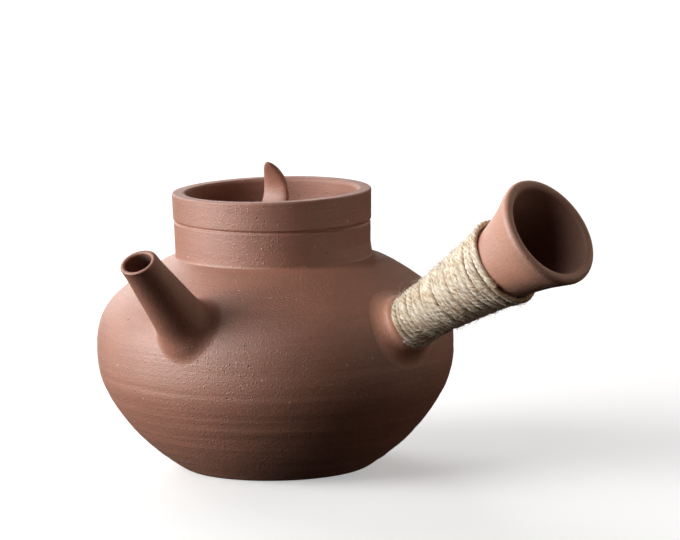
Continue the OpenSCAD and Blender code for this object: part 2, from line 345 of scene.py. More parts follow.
def clay_group(specks):
    """Coarse fired clay: clouds and patches of colour, sandy grain, pale grit, dark pits and turning lines.

    Place is in millimetres, Turning sets how much the lines round the axis show, Height is in millimetres.
    """
    group = bpy.data.node_groups.new("coarse clay", "ShaderNodeTree")
    sockets(group, "INPUT", Place="Vector", Clay="Color", Red="Color", Turning="Float")
    sockets(group, "OUTPUT", Colour="Color", Roughness="Float", Height="Float")
    w = Wiring(group)
    given = w.add("NodeGroupInput").outputs
    place = given["Place"]
    clouds = w.noise(place, 0.04, 3.0)
    patches = w.noise(place, 0.21, 3.0, 0.6)
    sand = w.noise(place, 1.4, 3.0, 0.6)
    dust = w.noise(place, 4.2, 2.0, 0.6)
    cells = w.add("ShaderNodeTexVoronoi", {"Vector": place, "Scale": 1.05}).outputs
    lot = w.add("ShaderNodeSeparateColor", {0: cells["Color"]}).outputs[0]
    grains = w.times(w.span(cells["Distance"], 0.08, 0.55, 1.0, 0.0), w.span(lot, 0.3, 1.0))
    turning = w.noise(w.stretched(place, (0.035, 0.035, 1.0)), 0.85, 4.0, 0.6)
    lines = w.times(w.swing(turning, 1.0), given["Turning"])

    def scattered(density, size, share):
        """Mask of specks from the group."""
        inputs = {"Place": place, "Density": density, "Size": size, "Share": share}
        return w.add("ShaderNodeGroup", inputs, node_tree=specks).outputs["Mask"]

    grit = scattered(0.27, 0.11, 0.5)
    fine_grit = scattered(0.52, 0.15, 0.5)
    ochre_grit = scattered(0.27, 0.12, 0.4)
    pits = scattered(0.21, 0.11, 0.7)
    fine_pits = scattered(0.45, 0.15, 0.45)
    light = w.total(
        1.0,
        w.swing(clouds, 0.07),
        w.swing(patches, 0.05),
        w.swing(sand, 0.08),
        w.swing(dust, 0.05),
        w.times(lines, 0.07),
        w.span(grains, 0.0, 1.0, -0.05, 0.14),
    )
    colour = w.mix(w.span(patches, 0.4, 0.62, 0.0, 0.6), given["Clay"], given["Red"])
    colour = w.scaled(colour, light)
    specked = ((fine_grit, 0.55, FINE_GRIT), (ochre_grit, 0.5, OCHRE_GRIT), (grit, 0.85, PALE_GRIT),
               (fine_pits, 0.45, FINE_PIT), (pits, 0.8, DEEP_PIT))
    for mask, strength, shade in specked:
        colour = w.mix(w.times(mask, strength), colour, shade)
    relief = ((sand, 0.13), (grains, 0.13), (dust, 0.03), (lines, 0.025),
              (grit, 0.14), (pits, -0.20), (fine_pits, -0.08))
    height = w.total(*[w.times(term, rise) for term, rise in relief])
    rough = w.span(sand, 0.25, 0.75, 0.66, 0.56)
    w.add("NodeGroupOutput", {"Colour": colour, "Height": height, "Roughness": rough})
    return group


def clay_finish(name, group, clay, red, turning):
    """A clay material: the coarse clay group on a rough shader.

    Points marked as hollow get painted shade: darker and greyer, and rougher.
    Points marked for a painted highlight are paler and smoother.
    """
    material, w = blank_material(name)
    place = w.scaled(w.add("ShaderNodeTexCoord").outputs["Object"], 1 / MM)
    inputs = {"Place": place, "Clay": clay, "Red": red, "Turning": turning}
    made = w.add("ShaderNodeGroup", inputs, node_tree=group).outputs
    hollow = w.marked("hollow")["Fac"]
    painted_highlight_smoother = w.marked("painted_highlight_smoother")["Fac"]
    # Painted highlight: marked points are painted up to 1.65 times paler
    colour = w.scaled(made["Colour"], w.span(painted_highlight_smoother, 0.0, 1.0, 1.0, 1.65))
    # Painted shade: hollow points are mixed halfway towards a dull grey brown
    colour = w.mix(w.times(hollow, 0.5), colour, HOLLOW_PAINTED_SHADE)
    rough = w.total(made["Roughness"], w.times(painted_highlight_smoother, -0.08), w.times(hollow, 0.35))
    w.surface({"Base Color": colour, "Roughness": rough, "Normal": w.bump(made["Height"]),
               "IOR": 1.7, "Specular IOR Level": 1.0})
    return material


def jute_finish(name):
    """Jute yarn: fibre streaks along the lay attribute, which unrolls the yarn into a straight rod.

    Lay holds the distance along the yarn and the place across its twisted section, in millimetres.
    Painted shade goes from 0 on the upper side of the grip, which faces the lamps,
    to 1 on its lower side, where the yarn is painted browner.
    """
    material, w = blank_material(name)
    lay = w.marked("lay")["Vector"]
    streaks = w.noise(w.stretched(lay, (0.18, 2.6, 2.6)), 1.0, 3.0, 0.6)
    fibres = w.noise(w.stretched(lay, (0.35, 7.0, 7.0)), 1.0, 2.0, 0.6)
    lengths = w.noise(w.stretched(lay, (0.09, 0.25, 0.25)), 1.0, 2.0, 0.5)
    tufts = w.noise(w.stretched(lay, (0.15, 0.85, 0.85)), 1.0, 3.0, 0.6)
    # Painted shade: the yarn browns on the side away from the lamps, with tufts and streaks mixed in
    painted_shade_and_tufts = w.total(w.marked("painted_shade")["Fac"], w.swing(tufts, -0.42), w.swing(streaks, -0.12))
    colour = w.mix(w.span(streaks, 0.32, 0.68), CREAM_JUTE, WHITE_JUTE)
    layers = ((lengths, 0.42, 0.68, 0.62, TAN_LENGTH), (tufts, 0.47, 0.35, 0.7, BROWN_TUFT),
              (painted_shade_and_tufts, 0.36, 0.92, 0.88, BROWN_PAINTED_SHADE), (fibres, 0.58, 0.75, 0.6, PALE_FIBRE),
              (fibres, 0.42, 0.27, 0.45, DARK_FIBRE))
    for term, start, full, most, shade in layers:
        colour = w.mix(w.span(term, start, full, 0.0, most), colour, shade)
    height = w.total(w.times(streaks, 0.07), w.times(fibres, 0.05))
    w.surface({"Base Color": colour, "Normal": w.bump(height), "Roughness": 0.85,
               "Specular IOR Level": 0.25, "Sheen Weight": 0.7, "Sheen Roughness": 0.45})
    return material


coarse_clay = clay_group(speck_group())
thrown_clay = clay_finish("thrown clay", coarse_clay, tint(164, 107, 84), tint(161, 99, 77), 1.0)
luted_clay = clay_finish("luted clay", coarse_clay, tint(166, 108, 85), tint(162, 100, 78), 0.0)
# The handle's clay is a lighter copy of the body's clay: painted light for the stronger light on the handle
handle_clay = clay_finish("handle clay", coarse_clay, tint(183, 129, 106), tint(179, 120, 97), 0.0)
jute = jute_finish("jute")


# The thrown body: outline, throwing rings and the pot itself
ARC_POINTS = 80
DOME_POINTS = 60
TUCK_R = 39.5
POLE_R = 1.0
RING_WAVES = ((4.7, 1, 0.030), (6.9, -1, 0.030), (3.3, 2, 0.018), (2.3, -1, 0.011), (11.3, 1, 0.045))
RING_SEED = 11
FAINT_RINGS = 0.3
RINGS_TOP = 56.0
RINGS_FADE = 22.0
FULL_SHOULDER = 0.75
FULL_ON_RIGHT = 0.35
FULL_RISE = 14.0
DRAWN_IN = 0.2
hip_c = (BELLY_R - HIP_R, BELLY_Z)
foot_c = (FOOT_R, FOOT_ROUND)
crown_c = (BELLY_R - CROWN_R, BELLY_Z + BELLY_FLAT)
keel_r = hypot(hip_c[0], hip_c[1] - KEEL_Z) + HIP_R
dome_r = hypot(NECK_FOOT_R, SHOULDER_Z - DOME_Z)
foot_turn = degrees(atan2(foot_c[1] - KEEL_Z, foot_c[0]))
hip_turn = degrees(atan2(hip_c[1] - KEEL_Z, hip_c[0]))
crown_turn = degrees(atan2(crown_c[1] - DOME_Z, crown_c[0]))


def belly_line(inset, dome_end):
    """The belly's curve from the foot up: keel, hip, band, crown and dome, drawn in by the inset."""
    return np.concatenate((
        arc((0.0, KEEL_Z), keel_r - inset, foot_turn, hip_turn, ARC_POINTS),
        arc(hip_c, HIP_R - inset, hip_turn, 0.0, ARC_POINTS),
        arc(crown_c, CROWN_R - inset, 0.0, crown_turn, ARC_POINTS),
        arc((0.0, DOME_Z), dome_r - inset, crown_turn, dome_end, DOME_POINTS)))


def dome_angle(radius, inset):
    """Angle on the dome at which it has the given distance from the axis."""
    return degrees(acos(radius / (dome_r - inset)))


# The dome runs on under the collar as far as TUCK_R, so that the collar's foot stands in it
outer_line = spaced(np.concatenate((
    arc(foot_c, FOOT_ROUND, -90.0, foot_turn, 20), belly_line(0.0, dome_angle(TUCK_R, 0.0)))), 0.03)
outer_face = facing(outer_line)
ring_phases = np.random.default_rng(RING_SEED).uniform(0.0, TAU, len(RING_WAVES))


def thrown_wave(theta, z):
    """How far the thrown wall stands off the plain outline.

    Finger rings are waves of height that climb round the axis, strong on the lower belly and faint above;
    a slow sway round the axis and a fuller shoulder are added. All of it fades at the foot and the collar.
    """
    rings = sum(depth * np.sin(TAU * z / pitch + climb * theta + phase)
                for (pitch, climb, depth), phase in zip(RING_WAVES, ring_phases))
    rings = rings * (1 + 0.5 * np.sin(2 * theta + z / 8) + 0.3 * np.sin(5 * theta - z / 5))
    strength = FAINT_RINGS + (1 - FAINT_RINGS) * smooth((RINGS_TOP - z) / RINGS_FADE)
    sway = 0.14 * np.cos(2 * theta + 0.7) + 0.10 * np.cos(3 * theta - z / 24)
    hold = smooth((z - 0.6) / 3.0) * smooth((SHOULDER_Z - z) / 2.5)
    rise = smooth((z - RINGS_TOP) / FULL_RISE)
    fuller = (FULL_SHOULDER + FULL_ON_RIGHT * np.cos(theta - VIEW_TURN)) * rise - DRAWN_IN
    return hold * (rings * strength + sway + fuller)


def on_body(points):
    """Nearest places on the body's wall, with its outward direction and the distance outside it."""
    rho = np.hypot(points[..., 0], points[..., 1])
    theta = np.arctan2(points[..., 1], points[..., 0])
    away = (outer_line[:, 0] - rho[..., None]) ** 2 + (outer_line[:, 1] - points[..., 2, None]) ** 2
    at = np.argmin(away, axis=-1)
    r, z = outer_line[at].T
    out_r, out_z = outer_face[at].T
    off = thrown_wave(theta, z)
    x, y = np.cos(theta), np.sin(theta)
    place = np.stack(((r + out_r * off) * x, (r + out_r * off) * y, z + out_z * off), axis=-1)
    face = np.stack((out_r * x, out_r * y, out_z), axis=-1)
    return place, face, (rho - r) * out_r + (points[..., 2] - z) * out_z - off


def turned(profile, columns, sway=0.0):
    """A profile of radius and height carried round the axis, with an offset along its normal."""
    theta = round_angles(columns)[None, :]
    face = facing(profile)
    r = profile[:, :1] + face[:, :1] * sway
    z = profile[:, 1:] + face[:, 1:] * sway
    return np.stack((r * np.cos(theta), r * np.sin(theta), z + 0 * theta), axis=-1)


def make_pot():
    """The pot: one closed profile of base, wall and inside, turned, with a pole below and one on the floor.

    The inside follows the throwing waves of the outside, so that the wall keeps its thickness.
    """
    columns = 360
    mouth_edge = 0.4
    inner_keel = keel_r - WALL
    floor_end = degrees(asin((FLOOR_T - KEEL_Z) / inner_keel))
    floor_r = inner_keel * cos(radians(floor_end))
    inside = belly_line(WALL, dome_angle(MOUTH_R, WALL))
    inside = inside[inside[:, 1] >= FLOOR_T]
    base = spaced(line((POLE_R, 0.0), (FOOT_R, 0.0)), 3.0)[:-1]
    outside = spaced(outer_line, 0.85)
    tuck = line((TUCK_R - 1.5, SHOULDER_Z), (MOUTH_R + mouth_edge, SHOULDER_Z),
                (MOUTH_R, SHOULDER_Z - mouth_edge))
    hollow = spaced(inside, 2.6)[::-1]
    floor = spaced(line((floor_r, FLOOR_T), (POLE_R, FLOOR_T)), 4.0)
    runs = (base, outside, tuck, hollow, floor)
    profile = np.concatenate(runs)
    share = np.repeat((0.0, 1.0, 0.0, -1.0, 0.0), [len(run) for run in runs])[:, None]
    theta = round_angles(columns)[None, :]
    body = turned(profile, columns, share * thrown_wave(theta, profile[:, 1:]))
    points = np.concatenate((body.reshape(-1, 3), line((0, 0, 0), (0, 0, FLOOR_T))))
    return make_piece("pot", points, capped_grid(len(profile), columns), thrown_clay, "kettle",
                      ("pot_base", "pot_belly", "pot_shoulder"))


# Tubes that are luted on the body
LUTE_BEND = 0.62
SKIRT_REACH = 1.3
SKIRT_SINK = 0.10
HALVINGS = 26


def tube_frame(turn, z, rise):
    """Start on the plain belly outline, axis, and two square directions of a tube that leaves the body."""
    upper = outer_line[outer_line[:, 1] > BELLY_Z]
    r = np.interp(z, upper[:, 1], upper[:, 0])
    level = np.array((cos(radians(turn)), sin(radians(turn)), 0.0))
    lift = radians(rise)
    axis = cos(lift) * level + sin(lift) * UP
    over = cos(lift) * UP - sin(lift) * level
    return level * r + UP * z, axis, over, np.cross(axis, over)


def tube_point(place, t, r, phi):
    """Point at a distance along a tube's axis, at a radius and an angle from its upper side."""
    start, axis, over, side = place
    t, r, phi = (np.asarray(v, dtype=float)[..., None] for v in (t, r, phi))
    return start + t * axis + r * (np.cos(phi) * over + np.sin(phi) * side)


def meeting(place, radius, phi, low, high):
    """Distance along the tube at which each line of its surface meets the body, found by halving."""
    low = np.full(phi.shape, float(low))
    high = np.full(phi.shape, float(high))
    for _ in range(HALVINGS):
        middle = (low + high) / 2
        outside = on_body(tube_point(place, middle, radius(middle), phi))[2] > 0
        high = np.where(outside, middle, high)
        low = np.where(outside, low, middle)
    return high


def luted_foot(place, radius, phi, meet, lift, spread, rows):
    """Rows from the body's wall up to a tube: a curve that leaves the wall and joins the tube smoothly.

    Each line round the tube has its own four-point curve; the first row lies just under the wall.
    """
    join = meet + lift
    reach = spread[:, None]
    top = tube_point(place, join, radius(join), phi)
    above = tube_point(place, join + 0.05, radius(join + 0.05), phi)
    foot = tube_point(place, meet, radius(meet), phi)
    face = on_body(foot)[1]
    away = unit(tube_point(place, meet, radius(meet) + 1.0, phi) - foot)
    away = unit(away - np.sum(away * face, axis=-1, keepdims=True) * face)
    start = on_body(foot + reach * away)[0]
    ahead = unit(on_body(foot + (reach - 0.4) * away)[0] - start)
    second = start + LUTE_BEND * reach * ahead
    third = top - LUTE_BEND * lift[:, None] * unit(above - top)
    u = np.linspace(0.0, 1.0, rows)[:, None, None]
    v = 1 - u
    curve = v ** 3 * start + 3 * u * v ** 2 * second + 3 * u ** 2 * v * third + u ** 3 * top
    skirt, skirt_face, _ = on_body(foot + (reach + SKIRT_REACH) * away)
    return np.concatenate(((skirt - SKIRT_SINK * skirt_face)[None], curve)), join


# The spout; angles round it go from its upper side over the left of the photograph
SPOUT_LEN = 45.1
SPOUT_MOUTH_R = 7.2
SPOUT_ROOT_R = 10.4
SPOUT_FLARE_AT = 8.5
SPOUT_FLARE_R = 22.0
SPOUT_FLARE_END = radians(27.0)
SPOUT_BORE_R = 5.5
SPOUT_HOLE_R = 6.8
SPOUT_CUT = radians(15.8)
ROOT_SEARCH = (-12.0, 20.0)
SPOUT_RIGHT = (276.0, 48.0)
SPOUT_LIP_OUT = 0.45
SPOUT_LIP_LEN = 6.0
DRILL_ENDS = np.array((-14.0, 6.0))[:, None]
spout_place = tube_frame(-81.0, 69.3, 42.2)
spout_taper = atan((SPOUT_ROOT_R - SPOUT_MOUTH_R) / (SPOUT_LEN - SPOUT_FLARE_AT))
flare_c = (SPOUT_ROOT_R + SPOUT_FLARE_R * cos(spout_taper),
           SPOUT_FLARE_AT + SPOUT_FLARE_R * sin(spout_taper))


def spout_radius(t, phi):
    """Outer radius along the spout: a taper, with a hollow flare at the root, widest on top and right."""
    taper = SPOUT_MOUTH_R + (SPOUT_LEN - t) * tan(spout_taper)
    curve = flare_c[0] - np.sqrt(np.maximum(SPOUT_FLARE_R ** 2 - (t - flare_c[1]) ** 2, 0.0))
    last_t = flare_c[1] - SPOUT_FLARE_R * sin(SPOUT_FLARE_END)
    last_r = flare_c[0] - SPOUT_FLARE_R * cos(SPOUT_FLARE_END)
    flare = last_r + (last_t - t) * tan(SPOUT_FLARE_END)
    flared = np.where(t > SPOUT_FLARE_AT, taper, np.where(t > last_t, curve, flare))
    return taper + (flared - taper) * (0.74 + 0.26 * np.cos(phi + 0.96))


def spout_bore(t):
    """Radius of the spout's bore, a little inside the pour hole at the root."""
    return SPOUT_HOLE_R - 0.08 + (SPOUT_BORE_R - SPOUT_HOLE_R) * t / SPOUT_LEN


def make_spout():
    """The spout: luted foot, tapering tube, slanting mouth with a rounded, flared lip, and the bore."""
    columns = 112
    foot_rows, tube_rows, lip_rows, bore_rows = 14, 60, 15, 24
    phi = round_angles(columns)
    radius = partial(spout_radius, phi=phi)
    meet = meeting(spout_place, radius, phi, *ROOT_SEARCH)
    right = near(phi, *SPOUT_RIGHT)
    lift = 2.5 + 0.5 * np.cos(phi) + 3.0 * right
    spread = 2.0 + 0.5 * np.cos(phi) + 1.5 * right
    foot, join = luted_foot(spout_place, radius, phi, meet, lift, spread, foot_rows)
    slant = tan(SPOUT_CUT)
    mouth_r = SPOUT_MOUTH_R + SPOUT_LIP_OUT * (0.55 + 0.45 * np.cos(phi - 0.8))
    half_lip = (mouth_r - SPOUT_BORE_R) / 2
    mid_lip = (mouth_r + SPOUT_BORE_R) / 2
    edge = SPOUT_LEN - half_lip - mouth_r * slant * np.cos(phi)
    t = join + (edge - join) * np.linspace(0.0, 1.0, tube_rows)[1:, None]
    out_lip = smooth((t - edge + SPOUT_LIP_LEN) / SPOUT_LIP_LEN)
    outer = tube_point(spout_place, t, radius(t) + (mouth_r - SPOUT_MOUTH_R) * out_lip, phi)
    bend = np.linspace(0.0, pi, lip_rows)[1:, None]
    lip_r = mid_lip + half_lip * np.cos(bend)
    lip_t = SPOUT_LEN - half_lip - lip_r * slant * np.cos(phi) + half_lip * np.sin(bend)
    lip = tube_point(spout_place, lip_t, lip_r, phi)
    deep = meeting(spout_place, spout_bore, phi, *ROOT_SEARCH) - 2.0
    inner_t = lip_t[-1] + (deep - lip_t[-1]) * np.linspace(0.0, 1.0, bore_rows)[1:, None]
    inner = tube_point(spout_place, inner_t, spout_bore(inner_t), phi)
    points = np.concatenate((foot, outer, lip, inner))
    tube = closed_clay("spout_tube", points, luted_clay, "kettle", "spout")
    # Painted shade: the bore is marked hollow, which darkens its colour
    hollow = smooth((np.arange(len(points)) - len(foot) - len(outer) - len(lip) + 4) / 5.0)
    mark(tube, "hollow", np.repeat(hollow, columns))


def cut_pour_hole(pot):
    """Cuts the round hole behind the spout with a cylinder along the spout's axis."""
    columns = 64
    ends = tube_point(spout_place, DRILL_ENDS, SPOUT_HOLE_R, round_angles(columns)[None, :])
    centres = spout_place[0] + DRILL_ENDS * spout_place[1]
    points = np.concatenate((ends.reshape(-1, 3), centres))
    drill = new_object("pour_hole_drill", new_mesh("pour_hole_drill", points, capped_grid(2, columns)))
    cut = pot.modifiers.new("pour hole", "BOOLEAN")
    cut.operation = "DIFFERENCE"
    cut.solver = "EXACT"
    cut.object = drill
    bored = bpy.data.meshes.new_from_object(pot.evaluated_get(bpy.context.evaluated_depsgraph_get()))
    pot.modifiers.clear()
    pot.data = bored
    bpy.data.objects.remove(drill)


# The handle; angles round it go from its upper side over the side that faces the camera
HANDLE_LEN = 87.4
MOUND_FROM = -1.5
MOUND_TO = 2.9
MOUND_TOP_R = 9.4
MOUND_SPREAD = 2.5
MOUND_SLOPE = 0.2
MOUND_LIFT = 3.4
GRIP_AT = 4.0
GRIP_R = 7.6
GRIP_LEN = 53.5
GRIP_TAPER = radians(8.0)
BELL_CURVE = 40.0
BELL_TAPER = radians(18.5)
HANDLE_WALL = 3.7
LIP_WALL = 4.8
LIP_ROUND = 2.15
handle_place = tube_frame(0.0, 66.1, 30.4)
grip_end = GRIP_AT + GRIP_LEN
bell_c = (GRIP_R + GRIP_LEN * tan(GRIP_TAPER) + BELL_CURVE * cos(GRIP_TAPER),
          grip_end - BELL_CURVE * sin(GRIP_TAPER))
bell_from = (bell_c[0] - BELL_CURVE * cos(BELL_TAPER), bell_c[1] + BELL_CURVE * sin(BELL_TAPER))
lip_at = HANDLE_LEN - LIP_ROUND


def trumpet_radius(t):
    """Outer radius of grip and bell: a narrow taper, a curve, then a wider taper."""
    grip = GRIP_R + (t - GRIP_AT) * tan(GRIP_TAPER)
    curve = bell_c[0] - np.sqrt(np.maximum(BELL_CURVE ** 2 - (t - bell_c[1]) ** 2, 0.0))
    bell = bell_from[0] + (t - bell_from[1]) * tan(BELL_TAPER)
    return np.where(t < grip_end, grip, np.where(t < bell_from[1], curve, bell))


def mound_top(phi):
    """How far the mound reaches along the handle: a little further in front."""
    return MOUND_TO + 0.8 * near(phi, 100.0, 60.0)


def mound_radius(t, phi):
    """Outer radius of the mound at the root: a slight cone and a round shoulder, fuller in front."""
    top = mound_top(phi)
    up = np.clip((t - MOUND_FROM) / (top - MOUND_FROM), 0.0, 1.0)
    spread = MOUND_SPREAD + 1.9 * near(phi, 98.0, 55.0)
    return MOUND_TOP_R + spread * (1 - up ** 4) ** 0.25 + MOUND_SLOPE * (top - t)


def handle_bore(t):
    """Radius of the hollow inside the handle, whose wall thickens towards the lip."""
    wall = HANDLE_WALL + (LIP_WALL - HANDLE_WALL) * smooth((t - 66.0) / 19.0)
    return np.maximum(trumpet_radius(t), GRIP_R) - wall


def make_handle():
    """The handle: luted mound, grip, flaring bell, thick rounded lip, and the hollow down to the wall.

    The bell is fuller on top and flatter below, and its lip slants. The mound's front and the lower side of
    the
    bell get a painted highlight: they are painted paler and made a little smoother.
    """
    columns = 144
    foot_rows, mound_rows, lip_points = 18, 14, 12
    phi = round_angles(columns)
    radius = partial(mound_radius, phi=phi)
    meet = meeting(handle_place, radius, phi, -9.0, MOUND_TO)
    top = mound_top(phi)
    lift = np.minimum(MOUND_LIFT, 0.66 * (top - meet))
    spread = 4.2 + 1.0 * np.abs(np.sin(phi))
    foot, join = luted_foot(handle_place, radius, phi, meet, lift, spread, foot_rows)
    bend = np.linspace(0.0, pi / 2, mound_rows)[1:, None]
    mound_at = join + (top - join) * np.sin(bend)
    mound = tube_point(handle_place, mound_at, radius(mound_at), phi)

    lip_r = float(trumpet_radius(np.array(lip_at)))
    lean = degrees(BELL_TAPER)
    lip_inset = LIP_ROUND / cos(BELL_TAPER)
    lip_from = lip_at - LIP_ROUND * sin(BELL_TAPER) - 0.4
    out_t = np.concatenate((np.linspace(MOUND_TO + 1.2, grip_end, 30),
                            np.linspace(grip_end, lip_from, 42)[1:]))
    in_t = np.concatenate((np.linspace(lip_at, grip_end, 30)[1:], np.linspace(grip_end, GRIP_AT, 16)[1:]))
    profile = np.concatenate((
        np.column_stack((trumpet_radius(out_t), out_t)),
        arc((lip_r - lip_inset, lip_at), LIP_ROUND, -lean, 90.0, lip_points),
        arc((lip_r - LIP_WALL + lip_inset, lip_at), LIP_ROUND, 90.0, 180.0 - lean, lip_points),
        np.column_stack((handle_bore(in_t), in_t))))
    r, t = profile[:, :1], profile[:, 1:]
    uneven = smooth((t - grip_end) / 20.0) * (
        0.12 * np.cos(2 * phi + 0.4) + 0.07 * np.cos(3 * phi - 1.2) + 0.35 * np.cos(phi) - 0.52)
    uneven = uneven + 0.8 * smooth((t - 74.0) / 12.0) * near(phi, 20.0, 60.0)
    uneven = uneven - 0.45 * smooth((t - 62.0) / 14.0) * near(phi, 185.0, 50.0)
    slant = smooth((t - 70.0) / 14.0) * (-0.45 - 1.1 * np.cos(phi - 0.5))
    shell = tube_point(handle_place, t + slant, r + uneven, phi)

    deep = meeting(handle_place, handle_bore, phi, -6.0, 12.0) - 0.6
    bore_t = GRIP_AT + (deep - GRIP_AT) * np.linspace(0.0, 1.0, 4)[1:, None]
    bore = tube_point(handle_place, bore_t, handle_bore(bore_t), phi)
    points = np.concatenate((foot, mound, shell, bore))
    handle = closed_clay("trumpet_handle", points, handle_clay, "kettle", "handle")

    row = np.arange(len(points))
    grip_row = len(foot) + len(mound)
    # Painted shade: the inside of the bell and the bore are marked hollow, which darkens them
    hollow = smooth((row - grip_row - len(out_t) - 1.5 * lip_points) / 6.0)
    mark(handle, "hollow", np.repeat(0.8 * hollow, columns))
    # Painted highlight: the mound's front, where the light falls, is marked to be painted paler
    on_mound = np.interp(row, (1, 6, grip_row, grip_row + 2), (0, 1, 1, 0))
    pale = on_mound[:, None] * near(phi, 106.0, 58.0)
    outer_t = t[:len(out_t)]
    # Painted light on the bell's lower front, where little light reaches: it is painted paler too
    low_side = smooth((outer_t - 58.0) / 6.0) * smooth((84.0 - outer_t) / 8.0) * near(phi, 145.0, 55.0)
    pale[grip_row:][:len(out_t)] += 0.5 * low_side
    mark(handle, "painted_highlight_smoother", pale)


# Collar, seat and lid
GROOVE_Z = RIM_Z - 12.3
GROOVE_LOW = line((0.0, -0.75), (-0.12, -0.55), (-0.5, -0.32), (-0.6, 0.0), (-0.5, 0.3))
GROOVE_HIGH = line((-0.12, 0.6), (0.0, 0.95))
COLLAR_FILLET = 1.3
RIM_EDGE = 0.85
BORE_EDGE = 1.6
BORE_EDGE_IN = 0.9
COLLAR_SKIRT_R = NECK_FOOT_R + 1.3
LID_COLUMNS = 192
LID_STEP = 0.5
SEAT_INNER_R = 31.0
SEAT_DEPTH = 5.1
FLANGE_R = 30.1
FLANGE_T = 3.2
FLANGE_DEPTH = 6.0
SMALL_EDGE = 0.6
LID_GAP = 0.4
LID_EDGE = 1.2
LID_LOW_EDGE = 0.4
FACE_TURN = radians(-78.0)
FACE = np.array((cos(FACE_TURN), sin(FACE_TURN)))
VENT_R = 1.5
VENT_OFF = 17.0
VENT_EDGE = 0.4


def make_collar():
    """The collar: hollow curve out of the shoulder, upright wall, turned groove, band and thick flat rim.

    Faint rings and a slow sway are added. Towards the right of the photograph the groove dips and the rim
    rises a little, and the wall stands slightly to the left.
    """
    columns = 320
    lean = degrees(atan2(SHOULDER_Z - DOME_Z, NECK_FOOT_R))
    away = radians(lean)
    fillet_c = (NECK_FOOT_R - 0.36 + COLLAR_FILLET * cos(away),
                SHOULDER_Z + COLLAR_FILLET * sin(away))
    top = fillet_c[0] - COLLAR_FILLET + 0.3
    band = top + 0.25
    rim = band + 0.28
    skirt = (COLLAR_SKIRT_R, DOME_Z + sqrt(dome_r ** 2 - COLLAR_SKIRT_R ** 2) - 0.12)
    wall = np.concatenate((
        arc(fillet_c, COLLAR_FILLET, 180.0 + lean, 180.0, 14),
        GROOVE_LOW + (top, GROOVE_Z),
        GROOVE_HIGH + (band, GROOVE_Z),
        arc((rim - RIM_EDGE, RIM_Z - RIM_EDGE), RIM_EDGE, 0.0, 90.0, 12),
        arc((BORE_R + BORE_EDGE_IN, RIM_Z - BORE_EDGE), BORE_EDGE, 90.0, 180.0, 14),
        line((BORE_R, RIM_Z - 7.0), (BORE_R, SHOULDER_Z - 0.3))))
    hidden = line((BORE_R + 1.0, SHOULDER_Z - 0.5), (NECK_FOOT_R - 1.5, SHOULDER_Z - 0.8), skirt)
    profile = np.concatenate((hidden, spaced(wall, 0.36)))
    theta = round_angles(columns)[None, :]
    z = profile[:, 1:]
    rise = smooth((z - SHOULDER_Z - 1.0) / 6.0)
    rings = 0.006 * np.sin(TAU * z / 3.1 + theta + 0.6) + 0.008 * np.sin(TAU * z / 4.9 - theta)
    sway = rise * (rings + 0.09 * np.cos(2 * theta + 2.1) + 0.06 * np.cos(3 * theta + z / 9) - 0.2)
    points = turned(profile, columns, sway)
    tilt = np.interp(z, (SHOULDER_Z, GROOVE_Z, RIM_Z), (0.0, -0.5, 0.6))
    points[..., 2] += tilt * np.cos(theta - VIEW_TURN) + np.interp(z, (GROOVE_Z + 1.0, RIM_Z), (0.0, 0.45))
    points[..., :2] -= 0.4 * rise[..., None] * VIEW_RIGHT[:2]
    collar = closed_clay("collar", points, thrown_clay, "kettle", "neck_collar")
    # Painted shade: the bore inside the rim is marked hollow, which darkens its colour
    hollow = 0.45 * smooth((BORE_R + BORE_EDGE_IN - profile[:, 0]) / 1.2)
    mark(collar, "hollow", np.repeat(hollow, columns))


def make_seat():
    """The shelf inside the collar on which the lid lies, with rounded inner edge and sloping underside."""
    edge_r = SEAT_INNER_R + SMALL_EDGE
    profile = np.concatenate((
        line((BORE_R + 0.3, SEAT_Z - SEAT_DEPTH), (BORE_R + 0.3, SEAT_Z)),
        arc((edge_r, SEAT_Z - SMALL_EDGE), SMALL_EDGE, 90.0, 180.0, 8),
        arc((edge_r, SEAT_Z - 1.7), SMALL_EDGE, 180.0, 240.0, 6)))
    points = turned(spaced(profile, LID_STEP), LID_COLUMNS)
    closed_clay("seat_ring", points, thrown_clay, "kettle", "lid_seat")


def make_lid():
    """The lid: circles that move from the steam hole out to the edge, with rounded upper edge and hole."""
    lid_r = LID_R - LID_GAP
    low_r = lid_r - LID_LOW_EDGE
    flat_r = lid_r - LID_EDGE
    hole_r = VENT_R + VENT_EDGE
    middle = -VENT_OFF * FACE
    out = np.linspace(0.0, 1.0, 26)[1:-1]
    edge = arc((flat_r, LID_TOP - LID_EDGE), LID_EDGE, 0.0, 90.0, 10)
    low_edge = arc((low_r, SEAT_Z + LID_LOW_EDGE), LID_LOW_EDGE, -90.0, 0.0, 5)
    hole = arc((hole_r, LID_TOP - VENT_EDGE), VENT_EDGE, 90.0, 180.0, 6)
    share = np.concatenate((out, np.ones(len(low_edge) + len(edge)), out[::-1], np.zeros(len(hole) + 2)))
    radius = np.concatenate((
        VENT_R + (low_r - VENT_R) * out, low_edge[:, 0], edge[:, 0],
        hole_r + (flat_r - VENT_R - VENT_EDGE) * out[::-1], hole[:, 0], (VENT_R, VENT_R)))[:, None]
    height = np.concatenate((
        np.full(len(out), SEAT_Z), low_edge[:, 1], edge[:, 1],
        np.full(len(out), LID_TOP), hole[:, 1], (LID_TOP - 2.2, SEAT_Z)))[:, None]
    theta = round_angles(LID_COLUMNS)[None, :]
    centre = (1 - share)[:, None] * middle[None, :]
    points = np.stack((centre[:, :1] + radius * np.cos(theta), centre[:, 1:] + radius * np.sin(theta),
                       height + 0 * theta), axis=-1)
    closed_clay("lid_disc", points, thrown_clay, "lid", "lid_plate")


